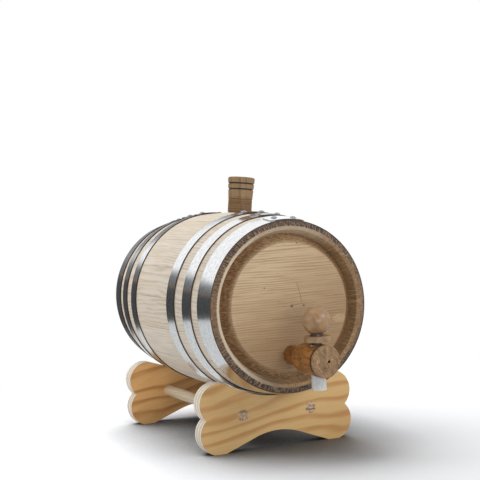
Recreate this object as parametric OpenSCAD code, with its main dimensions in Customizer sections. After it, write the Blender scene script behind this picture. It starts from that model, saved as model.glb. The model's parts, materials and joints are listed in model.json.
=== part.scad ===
// Small oak barrel on a two-panel pine cradle: staves, hoops, boarded heads,
// a tapered bung and a wooden tap whose key turns a plastic outlet sleeve.
// The barrel's axis runs along Y, its tap faces -Y, and the floor is at Z = 0.

/* [Barrel] */
// Length over the chimes
barrel_len = 280; // [230:1:340]
// Outer radius of the staves at the hoop edge next to each chime
chime_r = 84; // [68:1:100]
// How much the staves swell from the chime hoop's edge to mid length
bulge = 10; // [8:0.5:14]
// Thickness of a stave
stave_t = 13; // [10:0.5:14]
// Number of staves
stave_count = 18; // [14:1:22]
// Bare wood between the chime hoop and the end of the barrel
chime_reveal = 3; // [2:0.5:5]
// Width of the sawn slope round the outside of the chime
chime_slope_w = 5.2; // [4:0.1:6.5]
// Width of the bevel inside that slope
chime_bevel_w = 3.2; // [2:0.1:3.5]

/* [Heads] */
// Depth of a head's flat panel below the chime
head_depth = 2; // [1:0.5:6]
// Thickness of a head
head_t = 16; // [15:0.5:18]
// Width of the bevel round a head's panel
bevel_w = 9.4; // [6:0.1:12]
// Drop of that bevel
bevel_h = 9; // [6:0.5:9.5]
// Width of the groove that holds a head
croze_w = 4; // [3:0.5:4.5]
// Depth of the groove that holds a head
croze_d = 3.5; // [2:0.5:4.5]

/* [Hoops] */
// Thickness of the hoop steel
hoop_t = 1; // [0.6:0.1:1.5]
// Width of the hoop at each end
chime_hoop_w = 24; // [18:1:26]
// Width of the four inner hoops
inner_hoop_w = 17; // [12:1:20]
// From the chime hoop's outer edge to the quarter hoop's
quarter_hoop_at = 38; // [30:1:44]
// From the chime hoop's outer edge to the bilge hoop's
bilge_hoop_at = 74; // [66:1:80]
// Length of the lap where a hoop's ends are riveted
lap_len = 38; // [32:1:46]
// Distance between the two rivets of a lap
rivet_pitch = 21; // [16:1:24]
// Radius of a rivet's head
rivet_r = 3.4; // [2.5:0.1:4.5]

/* [Bung] */
// Radius of the bung where it enters the stave
bung_r = 11.9; // [8:0.1:13.5]
// Height of the bung above the stave
bung_proud = 38; // [25:1:50]
// Change of the bung's radius for each millimetre of height
bung_taper = 0.07; // [0.04:0.01:0.1]
// Lean of the bung and its stave from the vertical, in degrees
bung_lean = 6.5; // [0:0.5:10]
// Distance of the bung from mid length, towards the tap
bung_forward = 8; // [0:1:20]

/* [Tap] */
// Distance of the tap's axis below the barrel's axis
tap_drop = 47.2; // [42:0.1:52]
// Reach of the tap beyond the chime
tap_reach = 66.5; // [60:0.5:85]
// Radius of the tap where it enters the head
tap_root_r = 9.5; // [8:0.5:11]
// Radius of the tap's body
tap_body_r = 15.3; // [13:0.1:18]
// Length of that body in front of its round shoulder
tap_body_len = 35; // [30:0.5:45]
// Distance of the key's axis behind the tap's front face
key_back = 16; // [14:0.5:20]
// Radius of the outlet sleeve
sleeve_r = 7.05; // [6:0.05:8]
// Radius of the sleeve's spout, below the tap's body
spout_r = 6.9; // [5.5:0.05:7.9]
// Length of the sleeve's spout
sleeve_out = 12.5; // [8:0.5:20]
// Radius of the ball on the key
ball_r = 13.4; // [10:0.1:14]
// Radius of the collar under the ball
collar_r = 12.3; // [10:0.1:14]

/* [Stand] */
// Thickness of a stand panel
panel_t = 14.9; // [12:0.1:18]
// Height of the front cradle's lowest point above the floor
web_h = 52.4; // [46:0.1:66]
// Half the distance between the centres of a panel's round corners
lobe_x = 64.2; // [58:0.2:78]
// Radius of a panel's round corners
lobe_r = 20.6; // [18:0.2:24]
// Height of the lower corners' centres
lobe_low_z = 19.6; // [16:0.2:20]
// Height of the upper corners' centres
lobe_high_z = 50; // [46:0.5:58]
// Radius of the arch between the feet
arch_r = 70; // [60:1:80]
// Height of the arch's crown
arch_h = 17; // [12:0.5:22]
// Distance of the front panel's outer face behind the front chime
front_inset = 39.9; // [25:0.1:50]
// Distance of the rear panel's outer face in front of the rear chime
rear_inset = 22.9; // [15:0.1:50]
// Radius of a stand dowel
dowel_r = 6; // [5:0.5:8]
// Half the distance between the two dowels
dowel_x = 37.9; // [30:0.1:44]
// Height of the dowels
dowel_z = 35.5; // [30:0.5:38]

/* [Fits] */
// Air between pieces that are glued or driven together
snug = 0.03; // [0.02:0.01:0.1]
// Radial air round the turning sleeve
running = 0.05; // [0.03:0.01:0.1]
// Air between the barrel and its cradle
seat = 0.3; // [0.2:0.1:1]

/* [Hidden] */
$fn = 96;
// Facets of the long stave arcs, whose radius is several times the barrel's
bow_fn = 256;
bilge_r = chime_r + bulge;
half_len = barrel_len / 2;
// The stave's outside is an arc through the bilge and the chime hoop's edge.
end_y = half_len - chime_reveal;
bow_r = (end_y * end_y + bulge * bulge) / (2 * bulge);
bow_x = bilge_r - bow_r;
stave_angle = 360 / stave_count;

// Chime shape: the crest lies between the outer slope and a bevel that drops towards the head.
crest_r = chime_r - chime_slope_w;
chime_bevel_r = crest_r - chime_bevel_w;
chime_bevel_y = half_len - 2;

// Head seat
rim_front = half_len - head_depth - bevel_h;
rim_mid = rim_front - croze_w / 2;
wall_r = inside_r(rim_mid);
croze_r = wall_r + croze_d;
flat_r = wall_r - bevel_w;
head_front = half_len - head_depth;
head_back = head_front - head_t;
seam_y = wall_r / 3;
head_pin_r = 2;
head_pin_len = 16;
head_pin_x = flat_r / 2;

// Hoops, counted from the chime inwards
hoop_edge = [0, quarter_hoop_at, bilge_hoop_at];
hoop_w = [chime_hoop_w, inner_hoop_w, inner_hoop_w];
hoop_kind = ["chime", "quarter", "bilge"];
lap_turn = 2.5;
lap_corner = 4;
lap_inset = 0.3;
rivet_h = 1.7;
shank_r = 1.6;

// Bung
bung_in = stave_t + 3;
bung_edge = 1.6;
bung_groove_r = 0.85;
bung_grooves = [bung_proud - 6.8, bung_proud - 13];
bung_rings = [bung_proud - 24, bung_proud - 28, bung_proud - 31];
bung_ring_r = 0.35;

// Tap: distances forward along its axis are from the barrel's mid length
tap_front = half_len + tap_reach;
tap_back = head_back - 6;
key_y = tap_front - key_back;
shoulder_y = tap_front - tap_body_len;
flow_r = 3.5;
sleeve_wall = 2.55;
sleeve_top = tap_body_r - 0.8;
sleeve_bottom = -tap_body_r - sleeve_out;
stem_end = flow_r + 1.5;
collar_low = tap_body_r + 2.4;
collar_h = 5.4;
neck_r = 6;
neck_h = 2.1;
ball_z = collar_low + collar_h + neck_h + sqrt(ball_r * ball_r - neck_r * neck_r);
face_edge = 1.2;
face_groove_back = 3;
face_groove_r = 0.8;
face_hole_x = 3;
face_hole_r = 1.3;
face_hole_depth = 4;

// Stand: distances along Y are from the barrel's mid length, towards the tap
front_out = half_len - front_inset;
front_in = front_out - panel_t;
rear_out = -(half_len - rear_inset);
rear_in = rear_out + panel_t;
front_cradle_r = cradle_r(front_in, front_out);
rear_cradle_r = cradle_r(rear_in, rear_out);
axis_z = web_h + front_cradle_r;
arch_z = arch_h - arch_r;
graze = 0.02;

// The tap stands out in front, so the barrel sits behind the model's middle.
barrel_y = tap_reach / 2;

function outside_r(y) = bow_x + sqrt(bow_r * bow_r - y * y);
function inside_r(y) = bow_x + sqrt((bow_r - stave_t) * (bow_r - stave_t) - y * y);
function hoop_out(i) = end_y - hoop_edge[i];
function hoop_in(i) = hoop_out(i) - hoop_w[i];
function hooped(y) = len([for (i = [0:2]) if (abs(y) <= hoop_out(i) && abs(y) >= hoop_in(i)) i]) > 0;
function reach(y) = outside_r(y) + (hooped(y) ? snug + hoop_t : 0);
// Largest radius of the hooped barrel between two planes, plus the seat's air
function cradle_r(a, b) = max([for (k = [0:60]) reach(a + (b - a) * k / 60)]) + seat;
function arc_angle(length, radius) = length / radius * 180 / PI;
// Ends of the straight flank between a hollow circle and a round corner
function flank(hollow, hollow_r, corner, side) =
    let (d = corner - hollow)
    let (a = atan2(d[1], d[0]) + side * acos((hollow_r + lobe_r - 2 * graze) / norm(d)))
    [hollow + (hollow_r - graze) * unit(a), corner - (lobe_r - graze) * unit(a)];
function unit(a) = [cos(a), sin(a)];
function numbered(i) = str(i < 10 ? "0" : "", i);
function stave_name(i) = i == 0 ? "bung_stave" : str("stave_", numbered(i));

STAVES = [for (i = [0:stave_count - 1]) stave_name(i)];
ENDS = ["front", "rear"];
BOARDS = ["lower", "middle", "upper"];
HOOPS = [for (e = ENDS, k = hoop_kind) str(e, "_", k, "_hoop")];
RIVETS = [for (e = ENDS, k = hoop_kind) str(e, "_", k, "_rivets")];
HEADS = [for (e = ENDS, b = BOARDS) str(e, "_head_", b, "_board")];
PINS = [for (e = ENDS) str(e, "_head_pins")];
TAP = ["bung", "tap_body", "tap_key", "tap_outlet"];
STAND = ["stand_front_panel", "stand_rear_panel", "stand_left_dowel", "stand_right_dowel"];

// Local frame of the barrel: X right and Y up seen from the tap end, Z towards the tap
module barrel_frame() {
    translate([0, barrel_y, axis_z]) rotate([90, 0, 0]) children();
}

// Frame on the hooped surface: Z is the outward normal, turn is clockwise from the top
module on_hoop(turn, z, height) {
    rotate([0, 0, -turn]) translate([0, bow_x, 0]) rotate([asin(z / bow_r), 0, 0])
        translate([0, bow_r + height, 0]) rotate([-90, 0, 0]) children();
}

// ---- Staves ----

module stave_section() {
    far_r = bilge_r + 10;
    end_points = [
        [0, rim_front], [wall_r, rim_front], [chime_bevel_r, chime_bevel_y],
        [crest_r, half_len], [chime_r, end_y], [far_r, end_y]
    ];
    intersection() {
        difference() {
            translate([bow_x, 0]) circle(r = bow_r, $fn = bow_fn);
            translate([bow_x, 0]) circle(r = bow_r - stave_t, $fn = bow_fn);
            for (s = [-1, 1]) translate([0, s * rim_mid - croze_w / 2]) square([croze_r, croze_w]);
        }
        polygon(concat(end_points, [for (k = [5:-1:0]) [end_points[k][0], -end_points[k][1]]]));
    }
}

module stave(i) {
    color([0.78, 0.68, 0.54]) barrel_frame() difference() {
        rotate([0, 0, 90 - bung_lean - (i + 0.5) * stave_angle])
            rotate_extrude(angle = stave_angle) stave_section();
        if (i == 0) bung_frame() bung_hole();
    }
}

// ---- Bung ----

// Frame on the bung's axis: Z points out of the barrel, with 0 at the bilge radius
module bung_frame() {
    rotate([0, 0, -bung_lean]) translate([0, bilge_r, bung_forward]) rotate([-90, 0, 0]) children();
}

module bung_hole() {
    low = -bung_in - 5;
    high = 5;
    translate([0, 0, low])
        cylinder(h = high - low, r1 = bung_side(low) + running, r2 = bung_side(high) + running);
}

function bung_side(z) = bung_r + bung_taper * z;

module bung_section() {
    shoulder = bung_proud - bung_edge;
    top_r = bung_side(shoulder) - bung_edge;
    difference() {
        union() {
            polygon([[0, -bung_in], [bung_side(-bung_in), -bung_in], [bung_side(shoulder), shoulder], [0, shoulder]]);
            square([top_r, bung_proud]);
            translate([top_r, shoulder]) circle(r = bung_edge, $fn = 48);
        }
        for (z = bung_grooves) translate([bung_side(z), z]) circle(r = bung_groove_r, $fn = 32);
        for (z = bung_rings) translate([bung_side(z), z]) circle(r = bung_ring_r, $fn = 24);
    }
}

module bung() {
    color([0.80, 0.68, 0.50]) barrel_frame() bung_frame() rotate_extrude() bung_section();
}

// ---- Hoops and rivets ----

// Strip that follows the stave arc at a height above it, between two distances from mid length
module strip_section(height, thickness, low, high) {
    intersection() {
        difference() {
            translate([bow_x, 0]) circle(r = bow_r + height + thickness, $fn = bow_fn);
            translate([bow_x, 0]) circle(r = bow_r + height, $fn = bow_fn);
        }
        translate([chime_r / 2, low]) square([bilge_r, high - low]);
    }
}

// Outer layer of a hoop's lap, a little narrower than the hoop and with its corners cut off
module lap(low, high) {
    middle = (low + high) / 2;
    spread = arc_angle(lap_len, reach(middle));
    end_x = lap_len / 2 + 1;
    side_y = (high - low) / 2 - lap_inset + 1;
    cut = lap_corner + 2;
    intersection() {
        rotate([0, 0, 90 - lap_turn - spread / 2]) rotate_extrude(angle = spread)
            strip_section(snug + hoop_t / 2, 1.5 * hoop_t, low + lap_inset, high - lap_inset);
        rotate([0, 0, -lap_turn]) translate([0, 0, middle]) rotate([-90, 0, 0])
            linear_extrude(height = 2 * bilge_r) for (m = [0, 1]) mirror([m, 0]) polygon([
                [-1, -side_y], [end_x - cut, -side_y], [end_x, cut - side_y],
                [end_x, side_y - cut], [end_x - cut, side_y], [-1, side_y]
            ]);
    }
}

module at_rivets(i) {
    z = (hoop_out(i) + hoop_in(i)) / 2;
    half_pitch = arc_angle(rivet_pitch, reach(z)) / 2;
    for (s = [-1, 1]) on_hoop(lap_turn + s * half_pitch, z, snug + 2 * hoop_t) children();
}

// A front hoop; the rear ones are its mirror image
module hoop_ring(i) {
    difference() {
        union() {
            rotate_extrude() strip_section(snug, hoop_t, hoop_in(i), hoop_out(i));
            lap(hoop_in(i), hoop_out(i));
        }
        at_rivets(i) translate([0, 0, -4 * hoop_t]) cylinder(h = 8 * hoop_t, r = shank_r + snug);
    }
}

module rivet() {
    dome_r = (rivet_r * rivet_r + rivet_h * rivet_h) / (2 * rivet_h);
    rotate_extrude() {
        intersection() {
            translate([0, rivet_h - dome_r]) circle(r = dome_r);
            translate([0, snug]) square([rivet_r, rivet_h]);
        }
        translate([0, -2 * hoop_t]) square([shank_r, 2 * hoop_t + 2 * snug]);
    }
}

module at_end(rear) {
    barrel_frame() mirror([0, 0, rear ? 1 : 0]) children();
}

module hoop(i, rear) {
    color([0.75, 0.76, 0.78]) at_end(rear) hoop_ring(i);
}

module rivets(i, rear) {
    color([0.68, 0.69, 0.71]) at_end(rear) at_rivets(i) rivet();
}

// ---- Heads ----

module head_section() {
    polygon([
        [0, head_front], [flat_r, head_front], [wall_r - 2 * seat, rim_front - snug],
        [croze_r - snug, rim_front - snug], [croze_r - snug, rim_front - croze_w + snug],
        [wall_r - 2 * seat, rim_front - croze_w + snug], [flat_r, head_back], [0, head_back]
    ]);
}

module head_pin_holes(seam, air) {
    length = head_pin_len + 2 * air;
    for (x = [-head_pin_x, head_pin_x]) translate([x, seam + length / 2, (head_front + head_back) / 2])
        rotate([90, 0, 0]) cylinder(h = length, r = head_pin_r + air);
}

// Boards are counted upwards: 0 is the lower one, 2 the upper one
module head_board(b, rear) {
    low = b == 0 ? -bilge_r : (2 * b - 3) * seam_y;
    high = b == 2 ? bilge_r : (2 * b - 1) * seam_y;
    color([0.74, 0.62, 0.47]) at_end(rear) difference() {
        intersection() {
            rotate_extrude() head_section();
            translate([-bilge_r, low, 0]) cube([2 * bilge_r, high - low, half_len]);
        }
        for (s = [-1, 1]) head_pin_holes(s * seam_y, snug);
        if (b == 0 && !rear) translate([0, -tap_drop, 0]) cylinder(h = half_len, r = tap_root_r + snug);
    }
}

module head_pins(rear) {
    color([0.70, 0.55, 0.38]) at_end(rear) for (s = [-1, 1]) head_pin_holes(s * seam_y, 0);
}

// ---- Tap ----

module tap_frame() {
    barrel_frame() translate([0, -tap_drop, 0]) children();
}

// Frame on the key's axis: Z up, with 0 at the tap's axis
module key_frame() {
    tap_frame() translate([0, 0, key_y]) rotate([-90, 0, 0]) children();
}

module tap_section() {
    front_r = tap_body_r - face_edge;
    difference() {
        union() {
            translate([0, tap_back]) square([tap_root_r, shoulder_y - tap_back]);
            intersection() {
                translate([0, shoulder_y]) circle(r = tap_body_r);
                translate([0, shoulder_y - tap_body_r]) square(tap_body_r);
            }
            translate([0, shoulder_y]) square([tap_body_r, tap_front - face_edge - shoulder_y]);
            translate([0, shoulder_y]) square([front_r, tap_front - shoulder_y]);
            translate([front_r, tap_front - face_edge]) circle(r = face_edge, $fn = 48);
        }
        translate([tap_body_r, tap_front - face_groove_back]) circle(r = face_groove_r, $fn = 32);
    }
}

module tap_body() {
    color([0.66, 0.45, 0.24]) tap_frame() difference() {
        rotate_extrude() tap_section();
        translate([0, 0, tap_back - 1]) cylinder(h = key_y - tap_back + 1, r = flow_r);
        translate([face_hole_x, 0, tap_front - face_hole_depth]) cylinder(h = face_hole_depth + 1, r = face_hole_r);
        translate([0, -2 * tap_body_r, key_y]) rotate([-90, 0, 0])
            cylinder(h = 4 * tap_body_r, r = sleeve_r + running);
    }
}

module key_section() {
    stem_r = sleeve_r - sleeve_wall - snug;
    translate([0, stem_end]) square([stem_r, collar_low - stem_end]);
    translate([0, collar_low]) square([collar_r, collar_h]);
    translate([0, collar_low + collar_h]) square([neck_r, ball_z - collar_low - collar_h]);
    intersection() {
        translate([0, ball_z]) circle(r = ball_r);
        translate([0, ball_z - ball_r]) square([ball_r, 2 * ball_r - 0.4]);
    }
}

module tap_key() {
    color([0.78, 0.66, 0.48]) key_frame() rotate_extrude() key_section();
}

module tap_outlet() {
    spout_top = sleeve_bottom + sleeve_out;
    color([0.88, 0.89, 0.90]) key_frame() difference() {
        union() {
            translate([0, 0, spout_top]) cylinder(h = sleeve_top - spout_top, r = sleeve_r);
            translate([0, 0, sleeve_bottom]) cylinder(h = sleeve_out, r = min(spout_r, sleeve_r));
        }
        translate([0, 0, sleeve_bottom - 1])
            cylinder(h = sleeve_top - sleeve_bottom + 2, r = sleeve_r - sleeve_wall);
        rotate([0, 90, 0]) cylinder(h = 2 * sleeve_r, r = flow_r);
    }
}

// ---- Stand ----

// Outline of a panel: a waist between four round corners, cut by the cradle and the arch.
// Straight flanks touch each hollow and each corner, and graze a hair into both.
module panel_outline(hollow_r) {
    high = flank([0, axis_z], hollow_r, [lobe_x, lobe_high_z], -1);
    low = flank([0, arch_z], arch_r, [lobe_x, lobe_low_z], 1);
    right = [high[0], high[1], [lobe_x, lobe_high_z], [lobe_x, lobe_low_z], low[1], low[0]];
    left = [for (k = [5:-1:0]) [-right[k][0], right[k][1]]];
    intersection() {
        union() {
            difference() {
                polygon(concat(right, left));
                translate([0, axis_z]) circle(r = hollow_r);
                translate([0, arch_z]) circle(r = arch_r);
            }
            for (x = [-lobe_x, lobe_x], z = [lobe_low_z, lobe_high_z]) translate([x, z]) circle(r = lobe_r);
        }
        translate([-2 * lobe_x, 0]) square([4 * lobe_x, 2 * lobe_high_z]);
    }
}

module panel(outer_face, inner_face, hollow_r) {
    front = max(outer_face, inner_face);
    color([0.83, 0.66, 0.42]) translate([0, barrel_y - front, 0]) difference() {
        translate([0, panel_t, 0]) rotate([90, 0, 0]) linear_extrude(height = panel_t) panel_outline(hollow_r);
        for (x = [-dowel_x, dowel_x]) translate([x, -1, dowel_z]) rotate([-90, 0, 0])
            cylinder(h = panel_t + 2, r = dowel_r + snug);
    }
}

module dowel(side) {
    color([0.80, 0.62, 0.40]) translate([side * dowel_x, barrel_y - rear_out, dowel_z]) rotate([90, 0, 0])
        cylinder(h = front_out - rear_out, r = dowel_r);
}

// ---- The assembly ----

for (i = [0:stave_count - 1]) stave(i);
for (e = [0:1], i = [0:2]) {
    hoop(i, e == 1);
    rivets(i, e == 1);
    head_board(i, e == 1);
}
for (e = [0:1]) head_pins(e == 1);
bung();
tap_body();
tap_key();
tap_outlet();
panel(front_out, front_in, front_cradle_r);  // stand_front_panel
panel(rear_out, rear_in, rear_cradle_r);  // stand_rear_panel
dowel(-1);  // stand_left_dowel
dowel(1);  // stand_right_dowel
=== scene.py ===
"""Looks of a small oak wine barrel on its pine stand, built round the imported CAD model."""

import json
import math

import bmesh
import bpy
import numpy as np
from mathutils import Matrix, Vector


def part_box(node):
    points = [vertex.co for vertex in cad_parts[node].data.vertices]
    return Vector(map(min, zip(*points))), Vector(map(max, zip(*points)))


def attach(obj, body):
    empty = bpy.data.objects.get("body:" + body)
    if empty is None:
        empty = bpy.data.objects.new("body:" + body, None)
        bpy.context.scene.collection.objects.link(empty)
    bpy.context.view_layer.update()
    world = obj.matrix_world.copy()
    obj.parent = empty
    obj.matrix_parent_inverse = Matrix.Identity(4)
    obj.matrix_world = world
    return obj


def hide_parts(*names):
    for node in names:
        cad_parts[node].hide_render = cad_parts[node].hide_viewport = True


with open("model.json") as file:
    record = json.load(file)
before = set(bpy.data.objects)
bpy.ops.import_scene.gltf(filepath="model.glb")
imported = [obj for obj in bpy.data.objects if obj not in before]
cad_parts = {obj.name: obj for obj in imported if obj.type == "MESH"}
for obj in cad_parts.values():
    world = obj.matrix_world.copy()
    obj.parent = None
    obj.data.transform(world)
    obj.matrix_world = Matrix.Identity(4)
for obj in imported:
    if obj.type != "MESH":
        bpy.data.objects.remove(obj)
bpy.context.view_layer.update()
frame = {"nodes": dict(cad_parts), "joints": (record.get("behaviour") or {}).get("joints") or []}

MM = 0.001
NODES = frame["nodes"]


# ---------------------------------------------------------------- measures taken from the frame

def vertices(node):
    """Vertices of a CAD node as an array, in metres."""
    mesh = NODES[node].data
    points = np.zeros(len(mesh.vertices) * 3)
    mesh.vertices.foreach_get("co", points)
    return points.reshape(-1, 3)


STAVES = sorted(n for n in NODES if n.startswith("stave_") or n == "bung_stave")
HOOPS = sorted(n for n in NODES if n.endswith("_hoop"))
RIVETS = sorted(n for n in NODES if n.endswith("_rivets"))
BOARDS = sorted(n for n in NODES if n.endswith("_board"))
PINS = sorted(n for n in NODES if n.endswith("_head_pins"))
DOWELS = ["stand_left_dowel", "stand_right_dowel"]

stave_points = np.vstack([vertices(n) for n in STAVES])
low, high = stave_points.min(0), stave_points.max(0)
CENTRE = Vector(((low + high) / 2).tolist())          # middle of the barrel, on its axis
HALF_LEN = (high[1] - low[1]) / 2
BILGE_R = (high[0] - low[0]) / 2
HOOP_END = CENTRE.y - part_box("front_chime_hoop")[0].y  # mid length to the chime hoop's outer edge
STAVE_ANGLE = 2 * math.pi / len(STAVES)


def radii(points):
    """Distances of points from the barrel's axis."""
    return np.hypot(points[:, 0] - CENTRE.x, points[:, 2] - CENTRE.z)


def radius_near(points, distance, pick):
    """Smallest or largest radius of the points at a distance from mid length."""
    near = abs(abs(points[:, 1] - CENTRE.y) - distance) < 0.2 * MM
    return float(pick(radii(points)[near]))


CHIME_R = radius_near(stave_points, HOOP_END, np.max)
CREST_R = radius_near(stave_points, HALF_LEN, np.max)
BOW_R = (HOOP_END ** 2 + (BILGE_R - CHIME_R) ** 2) / (2 * (BILGE_R - CHIME_R))
head_points = vertices("front_head_middle_board")
HEAD_FRONT = CENTRE.y - head_points[:, 1].min()        # mid length to the head's flat face
FLAT_R = radius_near(head_points, HEAD_FRONT, np.max)
BUNG_AXIS = Vector(next(j for j in frame["joints"] if j["name"] == "bung_pull")["axis"])
BUNG_TOP = float((vertices("bung") @ np.array(BUNG_AXIS)).max()) - CENTRE.dot(BUNG_AXIS)
BUNG_GROOVES = (6.8 * MM, 13.0 * MM)                   # below the bung's top
HOOP_EDGES = sorted(CENTRE.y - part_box(n)[0].y for n in HOOPS)   # front edges, towards the tap


def middle(node):
    """Middle of a node's box."""
    near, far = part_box(node)
    return (near + far) / 2


TAP = middle("tap_body")
KEY = middle("tap_key")
TAP_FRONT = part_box("tap_body")[0].y
KEY_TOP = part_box("tap_key")[1].z
DOWEL_Z = middle("stand_left_dowel").z


def stave_turn(node):
    """Angle of a stave round the barrel, clockwise from the top as seen from the tap."""
    points = vertices(node)
    return math.atan2(*np.mean(points[:, [0, 2]] - [CENTRE.x, CENTRE.z], axis=0))


# ---------------------------------------------------------------- camera, light and floor

# Matched to the photograph; the place is counted from the barrel's middle, in metres
CAMERA_AT = CENTRE + Vector((-0.514, -1.1376, 0.1003))
CAMERA_YAW = math.radians(-24.875)
CAMERA_TILT = math.radians(1.681)
CAMERA_ROLL = math.radians(-2.598)
CAMERA_LENS = 86.376
CAMERA_SENSOR = 36.0

# Strength of the world's light on surfaces, and in their reflections
AMBIENT = 0.06
REFLECTED = 1.2

# Soft boxes: place from the barrel's middle, width and height, power in watts, and whether the
# light leaves the floor out or falls on nothing else
SOFT_BOXES = (
    ("top", (-0.40, 0.80, 1.30), (2.2, 1.8), 38, None),
    ("top_on_floor", (-0.30, 0.80, 1.30), (2.9, 2.1), 30, "INCLUDE"),
    ("side", (-1.6, -0.1, 0.75), (1.2, 1.0), 4, "EXCLUDE"),
    ("front", (1.1, -1.5, 1.1), (1.4, 1.0), 20.5, "EXCLUDE"),
    ("low", (-0.2, -1.8, 0.1), (1.2, 0.6), 11, "EXCLUDE"),
)

FLOOR_SIZE = 60.0
FLOOR_NEAR = 0.12      # the floor fades to white between these distances from the origin
FLOOR_FAR = 0.52
CONTACT = 0.12         # reach of the shade under the object
MIRROR_EDGE = 0.53     # beyond this depth the floor is dark in reflections

CARD_LEFT = (-2.6, 0.9)
CARD_RIGHT = (1.6, 1.35)
CARD_TOP = 0.9


def make_camera():
    data = bpy.data.cameras.new("camera")
    data.lens = CAMERA_LENS
    data.sensor_width = CAMERA_SENSOR
    data.clip_start = 0.05
    data.clip_end = 80
    camera = bpy.data.objects.new("camera", data)
    bpy.context.scene.collection.objects.link(camera)
    turn = Matrix.Rotation(CAMERA_YAW, 4, "Z") @ Matrix.Rotation(math.pi / 2 - CAMERA_TILT, 4, "X")
    camera.matrix_world = Matrix.Translation(CAMERA_AT) @ turn @ Matrix.Rotation(CAMERA_ROLL, 4, "Z")
    bpy.context.scene.camera = camera


def tone(code):
    """Linear colour of an sRGB hex code."""
    parts = [int(code[k:k + 2], 16) / 255 for k in (0, 2, 4)]
    linear = [c / 12.92 if c <= 0.04045 else ((c + 0.055) / 1.055) ** 2.4 for c in parts]
    return (*linear, 1.0)


class Graph:
    """A shader graph with short calls for the nodes that the materials here use."""

    def __init__(self, tree):
        self.tree = tree
        tree.nodes.clear()

    def put(self, socket, value):
        if isinstance(value, bpy.types.NodeSocket):
            self.tree.links.new(value, socket)
        elif value is not None:
            socket.default_value = value

    def node(self, kind, inputs=(), **settings):
        made = self.tree.nodes.new(kind)
        for key, value in settings.items():
            setattr(made, key, value)
        for key, value in dict(inputs).items():
            self.put(made.inputs[key], value)
        return made

    def math(self, operation, a, b=None):
        values = {k: v for k, v in enumerate((a, b)) if v is not None}
        return self.node("ShaderNodeMath", values, operation=operation).outputs[0]

    def add(self, a, b):
        return self.math("ADD", a, b)

    def mul(self, a, b):
        return self.math("MULTIPLY", a, b)

    def length(self, a, b):
        return self.math("SQRT", self.add(self.mul(a, a), self.mul(b, b)))

    def vector(self, x=0.0, y=0.0, z=0.0):
        return self.node("ShaderNodeCombineXYZ", {0: x, 1: y, 2: z}).outputs[0]

    def split(self, vector):
        return self.node("ShaderNodeSeparateXYZ", {0: vector}).outputs[:3]

    def axes(self):
        """Object position: x, y and z in metres."""
        return self.split(self.node("ShaderNodeTexCoord").outputs["Object"])

    def facing_y(self):
        """1 on faces square to the barrel's axis, 0 on faces along it."""
        normal = self.node("ShaderNodeTexCoord").outputs["Normal"]
        return self.math("ABSOLUTE", self.split(normal)[1])

    def dot(self, vector, other):
        values = {0: vector, 1: other}
        return self.node("ShaderNodeVectorMath", values, operation="DOT_PRODUCT").outputs["Value"]

    def noise(self, vector, detail=2.0, roughness=0.5):
        values = {"Vector": vector, "Scale": 1.0, "Detail": detail, "Roughness": roughness}
        return self.node("ShaderNodeTexNoise", values).outputs[0]

    def span(self, value, low, high, to_low=0.0, to_high=1.0, smooth=True):
        """Maps low..high to to_low..to_high, held at the ends."""
        kind = "SMOOTHSTEP" if smooth else "LINEAR"
        values = {"Value": value, "From Min": low, "From Max": high, "To Min": to_low, "To Max": to_high}
        return self.node("ShaderNodeMapRange", values, interpolation_type=kind, clamp=True).outputs[0]

    def ramp(self, factor, stops):
        made = self.node("ShaderNodeValToRGB", {"Fac": factor})
        elements = made.color_ramp.elements
        while len(elements) < len(stops):
            elements.new(0.5)
        for element, (place, colour) in zip(elements, stops):
            element.position = place
            element.color = colour
        return made.outputs[0]

    def mix(self, factor, a, b):
        made = self.node("ShaderNodeMix", data_type="RGBA")
        self.put(made.inputs["Factor"], factor)
        self.put(made.inputs[6], a)
        self.put(made.inputs[7], b)
        return made.outputs[2]

    def bump(self, height, distance, strength):
        values = {"Height": height, "Distance": distance, "Strength": strength}
        return self.node("ShaderNodeBump", values).outputs[0]


def world_light():
    """White to the camera, bright in reflections, and a dim even light on everything."""
    world = bpy.data.worlds.new("studio")
    bpy.context.scene.world = world
    world.use_nodes = True
    g = Graph(world.node_tree)
    path = g.node("ShaderNodeLightPath").outputs
    strength = g.add(AMBIENT, g.mul(path["Is Glossy Ray"], REFLECTED - AMBIENT))
    strength = g.math("MAXIMUM", strength, path["Is Camera Ray"])
    shader = g.node("ShaderNodeBackground", {"Color": tone("FFFFFF"), "Strength": strength})
    g.node("ShaderNodeOutputWorld", {"Surface": shader.outputs[0]})


def soft_box(name, offset, size, power, floor, state):
    """An area light aimed at the barrel; a state links the floor to it, or leaves the floor out."""
    data = bpy.data.lights.new(name, "AREA")
    data.shape = "RECTANGLE"
    data.size, data.size_y = size
    data.energy = power
    light = bpy.data.objects.new(name, data)
    bpy.context.scene.collection.objects.link(light)
    light.location = CENTRE + Vector(offset)
    light.rotation_euler = (-Vector(offset)).to_track_quat("-Z", "Y").to_euler()
    if state:
        linked = bpy.data.collections.new(name + "_linked")
        linked.objects.link(floor)
        light.light_linking.receiver_collection = linked
        linked.collection_objects[0].light_linking.link_state = state
    return light


def flat_sheet(name, corners):
    """One face of the setting, with an empty shader graph of its own."""
    mesh = bpy.data.meshes.new(name)
    mesh.from_pydata(corners, [], [(0, 1, 2, 3)])
    sheet = bpy.data.objects.new(name, mesh)
    bpy.context.scene.collection.objects.link(sheet)
    material = bpy.data.materials.new(name)
    material.use_nodes = True
    mesh.materials.append(material)
    return sheet, Graph(material.node_tree)


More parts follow.
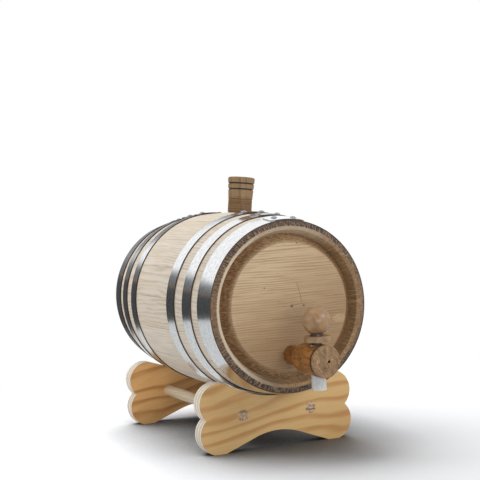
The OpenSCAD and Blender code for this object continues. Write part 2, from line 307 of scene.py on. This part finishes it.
def make_floor():
    """A pale floor with painted shade under the object and a painted reflection for glossy rays, fading to
    plain white away from the object.
    """
    half = FLOOR_SIZE / 2
    corners = [(-half, -half, 0), (half, -half, 0), (half, half, 0), (-half, half, 0)]
    floor, g = flat_sheet("floor", corners)
    x, y, _ = g.axes()
    path = g.node("ShaderNodeLightPath").outputs
    away = g.mul(g.span(g.length(x, y), FLOOR_NEAR, FLOOR_FAR), path["Is Camera Ray"])
    # Painted shade: the floor darkens where ambient occlusion finds the object close above
    contact = g.node("ShaderNodeAmbientOcclusion", {"Distance": CONTACT}, samples=8).outputs["AO"]
    pale = g.mix(g.span(contact, 0.2, 0.97, smooth=False), tone("151516"), tone("ECEEF1"))
    paint = g.node("ShaderNodeBsdfPrincipled", {"Base Color": pale, "Roughness": 0.95}).outputs[0]
    # Painted reflection: glossy rays see the floor as a glowing sheet, pale near and dark beyond the mirror
    # edge
    mirrored = g.mix(g.span(y, MIRROR_EDGE - 0.03, MIRROR_EDGE + 0.03), tone("E2E3E3"), tone("48494B"))
    mirrored = g.node("ShaderNodeEmission", {"Color": mirrored, "Strength": 1.0}).outputs[0]
    paint = g.node("ShaderNodeMixShader", {0: path["Is Glossy Ray"], 1: paint, 2: mirrored}).outputs[0]
    white = g.node("ShaderNodeEmission", {"Color": tone("FFFFFF"), "Strength": 1.0}).outputs[0]
    both = g.node("ShaderNodeMixShader", {0: away, 1: paint, 2: white}).outputs[0]
    g.node("ShaderNodeOutputMaterial", {"Surface": both})
    return floor


def make_card():
    """A glowing card behind the barrel, standing on the floor, seen only in glossy reflections: a painted
    reflection for the hoops.
    """
    feet = [(*CARD_LEFT, 0), (*CARD_RIGHT, 0)]
    heads = [(*CARD_RIGHT, CARD_TOP), (*CARD_LEFT, CARD_TOP)]
    card, g = flat_sheet("card", feet + heads)
    x, _, z = g.axes()
    right = g.mul(g.span(x, -0.1, 0.06), g.span(x, 0.5, 0.75, 1.0, 0.0))
    top = g.add(g.span(x, -0.75, -0.2, 0.62, 0.43), g.mul(right, 0.4))
    height = g.mul(g.math("DIVIDE", z, top), 0.8)
    # Painted reflection: dark at the foot, a tan band for the stand, then grey and white above, greyer
    # towards the right
    upright = g.ramp(height, [
        (0.0, tone("48494B")), (0.43, tone("4C4D4F")), (0.46, tone("9A8163")), (0.49, tone("6C6E70")),
        (0.66, tone("7C7E80")), (0.82, tone("FFFFFF"))])
    grey = g.mix(g.span(height, 0.66, 0.82), tone("8E9194"), tone("FFFFFF"))
    colour = g.mix(g.mul(right, 0.95), upright, grey)
    strength = g.span(height, 0.7, 0.82, 1.0, REFLECTED)
    shader = g.node("ShaderNodeEmission", {"Color": colour, "Strength": strength}).outputs[0]
    g.node("ShaderNodeOutputMaterial", {"Surface": shader})
    card.visible_camera = False
    card.visible_diffuse = False
    card.visible_shadow = False
    card.visible_transmission = False


def make_studio():
    bpy.context.scene.view_settings.view_transform = "Standard"
    world_light()
    floor = make_floor()
    make_card()
    for name, offset, size, power, state in SOFT_BOXES:
        light = soft_box(name, offset, size, power, floor, state)
        light.visible_glossy = name != "top"


make_camera()
make_studio()


# ---------------------------------------------------------------- wood and metal, in shared functions

def barrel_place(g):
    """Object position measured from the barrel's middle."""
    position = g.node("ShaderNodeTexCoord").outputs["Object"]
    return g.node("ShaderNodeVectorMath", {0: position, 1: tuple(CENTRE)}, operation="SUBTRACT").outputs[0]


def finish_material(g, colour, roughness, normal, **constants):
    """Ends a graph in one principled shader; constants are set on its own sockets."""
    inputs = {"Base Color": colour, "Roughness": roughness, "Normal": normal}
    shader = g.node("ShaderNodeBsdfPrincipled", inputs)
    for name, value in constants.items():
        shader.inputs[name.replace("_", " ")].default_value = value
    g.node("ShaderNodeOutputMaterial", {"Surface": shader.outputs[0]})
    return shader


def new_graph(name):
    material = bpy.data.materials.new(name)
    material.use_nodes = True
    return material, Graph(material.node_tree)


def wood_grain(g, across, along, depth, seed, spacing, slant=0.3, wave=1.0):
    """Growth rings, fibres and pores of a board. Returns (ring, fibre, pore), each from 0 to 1.

    across, along and depth are the board's own directions in metres, spacing the distance between
    two rings, slant the turn of the rings in the board's section, and wave how far they wander.
    """
    def field(crosswise, lengthwise, offset, detail=2, roughness=0.5):
        """Noise with its own number of waves per metre across the grain and along it."""
        deep = g.add(g.mul(depth, crosswise), seed + offset)
        place = g.vector(g.mul(across, crosswise), g.mul(along, lengthwise), deep)
        return g.noise(place, detail, roughness)

    drift = field(20, 5, 0)
    small = field(150, 16, 7)
    fade = field(260, 22, 4)
    section = g.add(g.mul(across, math.cos(slant)), g.mul(depth, math.sin(slant)))
    warped = g.add(g.mul(section, 1 / spacing), g.mul(g.add(drift, -0.5), 8.0 * wave))
    warped = g.add(warped, g.mul(g.add(small, -0.5), 2.6 * wave))
    turn = g.math("FRACT", g.add(warped, seed * 1.37))
    ring = g.mul(g.span(turn, 0.1, 0.78), g.span(turn, 0.82, 1.0, 1.0, 0.0))
    ring = g.mul(ring, g.span(fade, 0.3, 0.62, 0.15, 1.0))
    strands = field(1300, 30, 3, 3, 0.6)
    dashes = field(1900, 130, 5, 1)
    pore = g.mul(g.span(dashes, 0.63, 0.73), g.span(turn, 0.3, 0.9, 0.25, 1.0))
    return ring, g.span(strands, 0.25, 0.75), pore


def hoop_shadow_mask(g, along, reach):
    """Mask of a painted shadow: 1 on the wood just in front of a hoop's front edge, falling to 0 over a
    reach.
    """
    result = 0.0
    for edge in HOOP_EDGES:
        gap = g.math("SUBTRACT", g.mul(along, -1), edge)
        inside = g.mul(g.math("GREATER_THAN", gap, -0.3 * MM), g.span(gap, 0.0, reach, 1.0, 0.0))
        result = g.math("MAXIMUM", result, inside)
    return result


def chime_colour(g, angle, radius, seed):
    """Sawn end of a stave: dark strokes on the outer slope, and paler end grain inside the crest, with a
    painted highlight on its left side and at the top.

    Returns the colour, and the noise of the saw's strokes for the relief.
    """
    saw = g.noise(g.vector(g.mul(angle, CHIME_R * 900), g.mul(radius, 170), seed), 2, 0.6)
    patch = g.noise(g.vector(g.mul(angle, 14), g.mul(radius, 90), seed + 2), 3)
    cloud = g.noise(g.vector(g.mul(angle, 60), g.mul(radius, 420), seed + 5), 3, 0.65)
    level = g.math("ABSOLUTE", g.math("COSINE", angle))
    rough = g.ramp(g.add(g.mul(cloud, 0.55), g.mul(patch, 0.45)), [
        (0.33, tone("513F31")), (0.48, tone("785E46")), (0.6, tone("937656")), (0.72, tone("B0946F"))])
    stroke = g.mul(g.span(saw, 0.44, 0.53), g.span(g.add(level, g.mul(g.add(patch, -0.5), 1.6)), -0.1, 0.75))
    outer = g.mix(g.mul(stroke, 0.92), rough, tone("25272F"))
    inner = g.ramp(g.add(g.mul(saw, 0.5), g.mul(cloud, 0.5)), [
        (0.32, tone("6E543B")), (0.5, tone("917250")), (0.68, tone("B79C76"))])
    # Painted highlight: the end grain inside the crest is paler on the left side and at the top
    left = g.span(g.math("SINE", angle), -0.85, 0.1, 0.65, 0.0)
    left = g.math("MAXIMUM", left, g.span(g.math("COSINE", angle), 0.7, 1.0, 0.0, 0.35))
    inner = g.mix(left, inner, tone("DDD0BA"))
    ragged = g.add(radius, g.mul(g.add(saw, -0.5), 1.6 * MM))
    crest = g.span(ragged, CREST_R - 0.4 * MM, CREST_R + 0.9 * MM)
    return g.mix(crest, inner, outer), saw


OAK_RING = 2.5 * MM
STAVE_SLANTS = (0.25, 0.9, 1.2, 0.55)        # turn of the rings in each stave's section
STAVE_SHADES = (0.0, 0.35, 0.12, 0.5, 0.22)  # how much darker each stave is


def stave_material(node, index):
    """Dry oak: bent grain along the stave, close joints, and a dark sawn chime."""
    material, g = new_graph("oak_" + node)
    seed = 11.3 * index
    turn = stave_turn(node)
    place = barrel_place(g)
    across = g.dot(place, (math.cos(turn), 0, -math.sin(turn)))
    outwards = g.dot(place, (math.sin(turn), 0, math.cos(turn)))
    x, along, z = g.split(place)
    bent = g.add(outwards, g.mul(g.mul(along, along), 1 / (2 * BOW_R)))
    slant = STAVE_SLANTS[index % len(STAVE_SLANTS)]
    ring, fibre, pore = wood_grain(g, across, along, bent, seed, OAK_RING, slant, 0.6)
    shade = STAVE_SHADES[index % len(STAVE_SHADES)]
    pale = g.mix(shade, tone("D5CCBF"), tone("CCC0AE"))
    dark = g.mix(shade, tone("AF9D85"), tone("A79277"))
    colour = g.mix(g.mul(ring, 0.66), pale, dark)
    colour = g.mix(g.mul(fibre, 0.24), colour, tone("B8A48A"))
    colour = g.mix(g.mul(pore, 0.4), colour, tone("8E7357"))
    blotch = g.noise(g.vector(g.mul(across, 45), g.mul(along, 14), seed + 1), 3)
    colour = g.mix(g.span(blotch, 0.48, 0.72, 0.0, 0.35), colour, tone("C2AE92"))

    # Joints between staves, and painted shadow in front of each hoop's edge
    angle = g.math("ARCTAN2", across, outwards)
    radius = g.length(across, outwards)
    gap = g.mul(g.math("SUBTRACT", STAVE_ANGLE / 2, g.math("ABSOLUTE", angle)), radius)
    joint = g.span(g.add(gap, g.mul(fibre, 0.12 * MM)), 0.06 * MM, 0.32 * MM, 1.0, 0.0)
    colour = g.mix(g.mul(joint, 0.4), colour, tone("755C42"))
    # Painted shadow: dark brown on the wood just in front of each hoop's front edge
    colour = g.mix(g.mul(hoop_shadow_mask(g, along, 2.4 * MM), 0.9), colour, tone("4A2E16"))

    # The sawn chimes beyond the end hoops, and the staves' inside in front of the heads
    whole_turn = g.math("ARCTAN2", x, z)
    end = g.span(g.math("ABSOLUTE", along), HOOP_END - 0.2 * MM, HOOP_END + 0.1 * MM)
    inside = g.span(g.math("ABSOLUTE", along), HEAD_FRONT - 12 * MM, HEAD_FRONT - 10 * MM)
    inside = g.mul(inside, g.math("LESS_THAN", radius, CREST_R))
    sawn, saw = chime_colour(g, whole_turn, radius, 4.0 + 0.35 * index)
    end = g.math("MAXIMUM", end, inside)
    colour = g.mix(end, colour, sawn)

    relief = g.add(g.mul(ring, 0.3), g.mul(fibre, 0.3))
    relief = g.math("SUBTRACT", relief, g.add(g.mul(pore, 0.5), g.mul(joint, 1.2)))
    relief = g.add(relief, g.mul(g.mul(saw, end), 3.0))
    normal = g.bump(relief, 0.16 * MM, 0.7)
    roughness = g.add(0.55, g.mul(fibre, 0.14))
    finish_material(g, colour, roughness, normal, Specular_IOR_Level=0.3)
    return material


def spot(g, x, z, place, size, seed=0.0, ragged=0.4):
    """1 inside an ellipse on the head, with a ragged rim; place and size are in millimetres."""
    across = g.mul(g.add(x, -place[0] * MM), 1 / (size[0] * MM))
    up = g.mul(g.add(z, -place[1] * MM), 1 / (size[1] * MM))
    distance = g.length(across, up)
    fuzz = g.noise(g.vector(g.mul(x, 600), g.mul(z, 600), seed), 2)
    return g.span(g.add(distance, g.mul(g.add(fuzz, -0.5), ragged)), 0.7, 1.2, 1.0, 0.0)


# Place on the head from the barrel's middle and half widths, as (x, z) in millimetres
KNOT_EYE = ((54.5, -15.5), (8.0, 4.4))
DARK_KNOTS = (((2.0, 0.5), (1.5, 1.5)), ((-27.0, 20.0), (0.8, 0.8)), ((10.5, 62.0), (0.8, 0.9)),
              ((15.2, 0.2), (1.5, 0.9)))
CRACK = ((7.5, 24.5), (13.2, 1.3))           # its upper and lower end


def head_marks(g, x, z, colour):
    """Small knots, a pale knot eye and a fine crack. Returns the colour and the crack's mask."""
    eye = spot(g, x, z, *KNOT_EYE, seed=2.0)
    flecks = g.noise(g.vector(g.mul(x, 520), g.mul(z, 900), 3.0), 2, 0.6)
    eye_colour = g.mix(g.span(flecks, 0.5, 0.66), tone("BFA47D"), tone("7D5C3E"))
    colour = g.mix(g.mul(eye, 0.6), colour, eye_colour)
    for place, size in DARK_KNOTS:
        colour = g.mix(g.mul(spot(g, x, z, place, size, seed=place[0]), 0.8), colour, tone("5A3E26"))
    (top_x, top_z), (low_x, low_z) = CRACK
    down = g.mul(g.add(z, -top_z * MM), 1 / ((low_z - top_z) * MM))
    line = g.add(g.mul(down, (low_x - top_x) * MM), top_x * MM)
    sway = g.mul(g.math("SINE", g.mul(down, math.pi)), 0.9 * MM)
    off = g.math("ABSOLUTE", g.math("SUBTRACT", x, g.add(line, sway)))
    along = g.mul(g.span(down, 0.0, 0.1), g.span(down, 0.95, 1.0, 1.0, 0.0))
    crack = g.mul(g.span(off, 0.12 * MM, 0.55 * MM, 1.0, 0.0), along)
    return g.mix(g.mul(crack, 0.6), colour, tone("7A5836")), crack


def board_material(node):
    """Head board: level rings, painted shade darker towards the bottom, a dark bevel at its edge, and marks
    on the front head only.
    """
    material, g = new_graph("oak_" + node)
    seed = 5.0 if node.startswith("front") else 8.4
    place = barrel_place(g)
    x, along, z = g.split(place)
    ring, fibre, pore = wood_grain(g, z, x, along, seed, OAK_RING, 0.0, 0.6)
    colour = g.mix(g.mul(ring, 0.85), tone("C6AF8F"), tone("9C7C58"))
    colour = g.mix(g.mul(fibre, 0.28), colour, tone("A38661"))
    colour = g.mix(g.mul(pore, 0.4), colour, tone("6E5238"))
    broad = g.noise(g.vector(g.mul(x, 9), g.mul(z, 20), seed + 9), 2)
    colour = g.mix(g.span(broad, 0.4, 0.7, 0.0, 0.35), colour, tone("A38763"))
    # Painted shade: the head grows darker towards the bottom and a little to the right
    low = g.span(g.add(z, g.mul(x, -0.35)), -0.5 * FLAT_R, 0.7 * FLAT_R, 0.62, 0.0)
    colour = g.mix(low, colour, tone("815F3A"))
    crack = 0.0
    if node.startswith("front"):
        colour, crack = head_marks(g, x, z, colour)
    radius = g.length(x, z)
    angle = g.math("ARCTAN2", x, z)
    fuzz = g.noise(g.vector(g.mul(x, 420), g.mul(z, 420), seed), 3)
    edge = g.span(g.add(radius, g.mul(g.add(fuzz, -0.5), 2.4 * MM)), FLAT_R - 1.2 * MM, FLAT_R + 3.6 * MM)
    sideways = g.span(g.math("ABSOLUTE", g.math("SINE", angle)), 0.1, 0.75)
    streaks = g.noise(g.vector(g.mul(x, 260), g.mul(along, 200), g.mul(z, 900)), 3, 0.65)
    end_grain = g.ramp(streaks, [(0.34, tone("523A23")), (0.5, tone("745436")), (0.66, tone("927250"))])
    side_grain = g.ramp(streaks, [(0.34, tone("6C5136")), (0.5, tone("8D6F4F")), (0.66, tone("AB8F6B"))])
    colour = g.mix(edge, colour, g.mix(sideways, side_grain, end_grain))
    relief = g.math("SUBTRACT", g.mul(ring, 0.6), g.add(g.mul(pore, 0.5), g.mul(crack, 1.5)))
    normal = g.bump(g.add(relief, g.mul(fibre, 0.35)), 0.2 * MM, 0.75)
    finish_material(g, colour, g.add(0.5, g.mul(fibre, 0.14)), normal, Specular_IOR_Level=0.35)
    return material


def hoop_material(name, dullness=0.0):
    """Galvanised strip: mottled zinc, fine scratches round the hoop, and cut edges painted dark brown as
    shade.

    dullness, from 0 to 1, greys and roughens the zinc and lightens the painted shade on the cut edges.
    """
    material, g = new_graph(name)
    place = barrel_place(g)
    x, along, z = g.split(place)
    round_it = g.mul(g.math("ARCTAN2", x, z), BILGE_R)
    cloud = g.noise(g.vector(g.mul(round_it, 190), g.mul(along, 230), 3.0), 4, 0.7)
    speck = g.noise(g.vector(g.mul(round_it, 700), g.mul(along, 700), 9.0), 2, 0.6)
    scratch = g.noise(g.vector(g.mul(round_it, 60), g.mul(along, 4200), 5.0), 2, 0.7)
    tint = g.add(g.mul(cloud, 0.6), g.mul(speck, 0.4))
    colour = g.ramp(tint, [(0.36, tone("CACCCF")), (0.5, tone("DADCDE")), (0.64, tone("E6E7E8"))])
    colour = g.mix(dullness, colour, tone("66686A"))
    cut = g.mul(g.span(g.facing_y(), 0.6, 0.8), 1.0 - dullness)
    # Painted shade: the cut edges are coloured dark brown
    colour = g.mix(cut, colour, tone("3A2412"))
    rough = g.add(g.mul(cloud, 0.06), g.add(g.mul(speck, 0.05), g.mul(scratch, 0.03)))
    relief = g.add(g.mul(speck, 0.25), g.add(g.mul(cloud, 0.5), g.mul(scratch, 0.1)))
    normal = g.bump(relief, 0.03 * MM, 0.3)
    roughness = g.add(0.1 + 0.2 * dullness, g.add(rough, g.mul(cut, 0.5)))
    shader = finish_material(g, colour, roughness, normal)
    g.put(shader.inputs["Metallic"], g.math("SUBTRACT", 1.0, cut))
    return material


def turned_wood(g, colours, across, along, seed, spacing, wave=0.6, contrast=0.6):
    """Colour, relief and fibres of a turned piece; its colours go from pale to dark.

    across and along number the object's axes that its grain crosses and follows, with x as 0.
    """
    parts = g.axes()
    third = ({0, 1, 2} - {across, along}).pop()
    ring, fibre, pore = wood_grain(g, parts[across], parts[along], parts[third], seed, spacing, 0.6, wave)
    colour = g.mix(g.mul(ring, contrast), tone(colours[0]), tone(colours[1]))
    colour = g.mix(g.mul(fibre, 0.3), colour, tone(colours[1]))
    colour = g.mix(g.mul(pore, 0.45), colour, tone(colours[2]))
    relief = g.math("SUBTRACT", g.add(g.mul(ring, 0.3), g.mul(fibre, 0.35)), g.mul(pore, 0.5))
    return colour, relief, fibre


def bung_material():
    """Turned oak bung: near-black grooves, and a darker lower end with dark rings."""
    material, g = new_graph("bung_oak")
    colour, relief, fibre = turned_wood(g, ("977C59", "6E5439", "47321F"), 0, 2, 3.0, 3.2 * MM, 0.9, 0.8)
    below = g.math("SUBTRACT", BUNG_TOP, g.dot(barrel_place(g), tuple(BUNG_AXIS)))
    x, y, z = g.axes()
    turning = g.noise(g.vector(0.0, 0.0, g.mul(below, 900)), 2)
    colour = g.mix(g.span(turning, 0.5, 0.7, 0.0, 0.3), colour, tone("7B5F42"))
    for groove in BUNG_GROOVES:
        off = g.math("ABSOLUTE", g.add(below, -groove))
        colour = g.mix(g.mul(g.span(off, 0.6 * MM, 1.0 * MM, 1.0, 0.0), 0.95), colour, tone("1C1310"))
    fuzz = g.noise(g.vector(g.mul(x, 300), g.mul(y, 300), g.mul(z, 120)), 3, 0.6)
    darker_end = g.span(g.add(below, g.mul(fuzz, 5 * MM)), 22 * MM, 27 * MM)
    rings = g.span(g.math("SINE", g.mul(below, 2 * math.pi / (2.6 * MM))), 0.3, 0.9)
    colour = g.mix(g.mul(darker_end, 0.65), colour, tone("6E4C2A"))
    colour = g.mix(g.mul(g.mul(darker_end, rings), 0.5), colour, tone("4E351D"))
    normal = g.bump(g.math("SUBTRACT", relief, g.mul(g.mul(darker_end, rings), 0.8)), 0.16 * MM, 0.7)
    finish_material(g, colour, g.add(0.5, g.mul(fibre, 0.12)), normal, Specular_IOR_Level=0.35)
    return material


def tap_material():
    """Oiled tap: orange brown along its sides, and mottled end grain on the front face."""
    material, g = new_graph("tap_oak")
    colour, relief, fibre = turned_wood(g, ("A26A2E", "74471B", "40250F"), 2, 1, 8.0, 3.4 * MM, 0.5)
    x, y, z = g.axes()
    cloud = g.noise(g.vector(g.mul(x, 260), g.mul(y, 150), g.mul(z, 260)), 4, 0.65)
    colour = g.mix(g.span(cloud, 0.42, 0.62, 0.0, 0.75), colour, tone("5A3614"))
    wear = g.noise(g.vector(g.mul(x, 120), g.mul(y, 300), g.mul(z, 120)), 3, 0.6)
    colour = g.mix(g.span(wear, 0.58, 0.74, 0.0, 0.4), colour, tone("A5814F"))
    behind = g.math("SUBTRACT", y, TAP_FRONT)
    face = g.span(behind, 0.2 * MM, 1.6 * MM, 1.0, 0.0)
    skewed_x = g.add(x, g.mul(z, 0.6))
    skewed_z = g.add(z, g.mul(x, -0.6))
    bands = g.noise(g.vector(g.mul(skewed_x, 420), g.mul(y, 60), g.mul(skewed_z, 130)), 3, 0.6)
    from_axis = g.length(g.add(x, -TAP.x), g.add(z, -TAP.z))
    turning = g.noise(g.vector(g.mul(from_axis, 900), 0.0, 1.0), 2)
    grain = g.add(g.mul(bands, 0.45), g.mul(cloud, 0.35))
    end = g.ramp(g.add(grain, g.mul(turning, 0.2)), [
        (0.36, tone("463020")), (0.46, tone("755A3E")), (0.56, tone("8D6E4B")), (0.66, tone("A98C66"))])
    colour = g.mix(face, colour, end)
    groove = g.mul(g.span(behind, 1.5 * MM, 2.0 * MM), g.span(behind, 4.2 * MM, 4.8 * MM, 1.0, 0.0))
    colour = g.mix(g.mul(groove, 0.92), colour, tone("20130B"))
    normal = g.bump(g.add(relief, g.mul(bands, g.mul(face, 1.6))), 0.2 * MM, 0.8)
    finish_material(g, colour, g.add(0.42, g.mul(fibre, 0.14)), normal, Specular_IOR_Level=0.4)
    return material


def key_material():
    """Waxed key: quiet figure under a thin wax coat, with painted shade, nearly black, in the neck and on
    the stem.
    """
    material, g = new_graph("key_oak")
    colour, relief, fibre = turned_wood(g, ("9C7A53", "7D5D38", "533820"), 0, 2, 4.0, 5.2 * MM, 0.5, 0.5)
    x, y, z = g.axes()
    cloud = g.noise(g.vector(g.mul(x, 110), g.mul(y, 110), g.mul(z, 90)), 3, 0.55)
    colour = g.mix(g.span(cloud, 0.42, 0.64, 0.0, 0.7), colour, tone("785735"))
    # Painted shade under the ball: the neck and stem turn nearly black
    painted_neck_shade = g.span(g.length(x, g.add(y, -KEY.y)), 6.0 * MM, 8.2 * MM, 1.0, 0.0)
    painted_neck_shade = g.mul(painted_neck_shade, g.span(z, KEY_TOP - 12 * MM, KEY_TOP - 9 * MM, 1.0, 0.0))
    colour = g.mix(g.mul(painted_neck_shade, 0.95), colour, tone("24160D"))
    normal = g.bump(relief, 0.1 * MM, 0.5)
    finish_material(g, colour, g.add(0.36, g.mul(fibre, 0.1)), normal, Specular_IOR_Level=0.5,
                    Coat_Weight=0.2, Coat_Roughness=0.2)
    return material


def dowel_material():
    """Birch dowel: pale sides, and mottled end grain with a dark split or a dark upper rim."""
    material, g = new_graph("dowel_wood")
    colour, relief, fibre = turned_wood(g, ("DACBB2", "C2A983", "937450"), 0, 1, 6.0, 3.0 * MM)
    x, _, z = g.axes()
    face = g.span(g.facing_y(), 0.7, 0.9)
    mottle = g.noise(g.vector(g.mul(x, 420), 2.0, g.mul(z, 420)), 3, 0.65)
    end = g.ramp(mottle, [(0.36, tone("83664A")), (0.48, tone("AB9070")), (0.62, tone("C9B496"))])
    level = g.add(z, -DOWEL_Z)
    split = g.span(g.math("ABSOLUTE", g.add(level, g.mul(x, 0.05))), 0.5 * MM, 1.1 * MM, 1.0, 0.0)
    high = g.mul(g.span(level, 2.2 * MM, 3.6 * MM), g.span(mottle, 0.4, 0.55))
    right = g.math("GREATER_THAN", x, 0.0)
    mark = g.mix(right, g.mul(high, 0.75), g.mul(split, 0.7))
    end = g.mix(mark, end, tone("59422D"))
    colour = g.mix(face, colour, end)
    normal = g.bump(relief, 0.14 * MM, 0.6)
    finish_material(g, colour, g.add(0.5, g.mul(fibre, 0.12)), normal, Specular_IOR_Level=0.35)
    return material


PANEL_PLIES = 5
PANEL_RING = 13 * MM

# Pale and dark tone of the face veneer, its seed, and the slope of its rings
PANEL_LOOKS = {
    "stand_front_panel": (("CBA870", "AC783F"), 2.3, math.radians(7)),
    # Painted light: the rear panel's tones are paler than the front's, lifting it out of the barrel's shade
    "stand_rear_panel": (("F6C07C", "BC7A3B"), 6.1, math.radians(12)),
}


def panel_material(node, tones, seed, slope):
    """Pine plywood: a face veneer with broad soft rings, and plies that show on the edge."""
    pale, dark = tones
    material, g = new_graph("pine_" + node)
    x, y, z = g.axes()
    level = g.add(g.mul(z, math.cos(slope)), g.mul(x, -math.sin(slope)))
    drift = g.noise(g.vector(g.mul(x, 8), g.mul(level, 22), seed), 2, 0.45)
    ripple = g.noise(g.vector(g.mul(x, 30), g.mul(level, 110), seed + 4), 2)
    rings = g.add(g.mul(level, 1 / PANEL_RING), g.add(g.mul(drift, 3.4), g.mul(ripple, 0.3)))
    turn = g.math("FRACT", g.add(rings, seed))
    fade = g.noise(g.vector(g.mul(x, 22), g.mul(level, 90), seed + 8), 2)
    late = g.mul(g.span(turn, 0.3, 0.7), g.span(turn, 0.74, 0.95, 1.0, 0.0))
    late = g.mul(late, g.span(fade, 0.3, 0.6, 0.55, 1.0))
    fibre = g.noise(g.vector(g.mul(x, 40), g.mul(level, 900), seed + 2), 3, 0.6)
    veneer = g.mix(g.mul(late, 0.8), tone(pale), tone(dark))
    veneer = g.mix(g.span(fibre, 0.35, 0.75, 0.0, 0.22), veneer, tone(dark))
    veneer = g.mix(g.span(drift, 0.45, 0.7, 0.0, 0.25), veneer, tone(dark))
    low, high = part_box(node)
    ply = g.mul(g.add(y, -low.y), PANEL_PLIES / (high.y - low.y))
    seam = g.math("ABSOLUTE", g.add(g.math("FRACT", g.add(ply, 0.5)), -0.5))
    glue = g.span(seam, 0.05, 0.14, 1.0, 0.0)
    crosswise = g.span(g.math("FRACT", g.mul(g.math("FLOOR", ply), 0.5)), 0.2, 0.3)
    grain = g.noise(g.vector(g.mul(x, 500), g.mul(y, 900), g.mul(z, 500)), 3, 0.6)
    edge = g.mix(g.mul(crosswise, 0.8), tone("EAE2D5"), tone("CDBFA6"))
    edge = g.mix(g.span(grain, 0.45, 0.75, 0.0, 0.3), edge, tone("C4B196"))
    edge = g.mix(g.mul(glue, 0.8), edge, tone("94795A"))
    colour = g.mix(g.span(g.facing_y(), 0.75, 0.95), edge, veneer)
    relief = g.add(g.mul(late, 0.4), g.mul(fibre, 0.4))
    normal = g.bump(relief, 0.1 * MM, 0.5)
    finish_material(g, colour, g.add(0.4, g.mul(fibre, 0.14)), normal,
                    Specular_IOR_Level=0.4, Coat_Weight=0.1, Coat_Roughness=0.35)
    return material


def plastic_material():
    """White sleeve: a faint moulding haze over satin plastic."""
    material, g = new_graph("white_plastic")
    x, y, z = g.axes()
    haze = g.noise(g.vector(g.mul(x, 160), g.mul(y, 160), g.mul(z, 60)), 3)
    marks = g.noise(g.vector(g.mul(x, 900), g.mul(y, 900), g.mul(z, 200)), 2)
    colour = g.mix(g.span(haze, 0.35, 0.65), tone("B0AEAB"), tone("CBC9C6"))
    normal = g.bump(marks, 0.05 * MM, 0.4)
    finish_material(g, colour, g.add(0.3, g.mul(haze, 0.12)), normal, Subsurface_Weight=0.1,
                    Specular_IOR_Level=0.5)
    return material


# ---------------------------------------------------------------- dressing the model

def dress(node, material):
    """Gives a CAD node its material."""
    slots = NODES[node].data.materials
    slots.clear()
    slots.append(material)


CREASE_ANGLE = math.radians(30)


def smooth(mesh):
    """Smooth shading with sharp creases, which leaves the mesh where it is."""
    mesh.shade_smooth()
    mesh.set_sharp_from_angle(angle=CREASE_ANGLE)


def soften(node, body, width):
    """Stands a copy with rounded arrises in for a CAD node."""
    mesh = NODES[node].data.copy()
    edit = bmesh.new()
    edit.from_mesh(mesh)
    bmesh.ops.remove_doubles(edit, verts=edit.verts, dist=1e-6)
    bmesh.ops.dissolve_limit(edit, angle_limit=math.radians(0.5), verts=edit.verts, edges=edit.edges)
    edit.to_mesh(mesh)
    edit.free()
    piece = bpy.data.objects.new(node + "_softened", mesh)
    bpy.context.scene.collection.objects.link(piece)
    smooth(mesh)
    bevel = piece.modifiers.new("arris", "BEVEL")
    bevel.width = width
    bevel.segments = 3
    bevel.limit_method = "ANGLE"
    bevel.angle_limit = math.radians(50)
    bevel.harden_normals = True
    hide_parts(node)
    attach(piece, body)


for index, node in enumerate(STAVES):
    dress(node, stave_material(node, index))
for node in BOARDS:
    dress(node, board_material(node))
hoop_steel = hoop_material("galvanised_steel")
rivet_steel = hoop_material("rivet_steel", 0.7)
for node in HOOPS:
    dress(node, hoop_steel)
for node in RIVETS:
    dress(node, rivet_steel)
dress("bung", bung_material())
dress("tap_body", tap_material())
dress("tap_key", key_material())
dress("tap_outlet", plastic_material())
dowel_wood = dowel_material()
for node in DOWELS + PINS:
    dress(node, dowel_wood)
for node, look in PANEL_LOOKS.items():
    dress(node, panel_material(node, *look))
for node in NODES:
    smooth(NODES[node].data)
for node in PANEL_LOOKS:
    soften(node, "stand", 0.9 * MM)
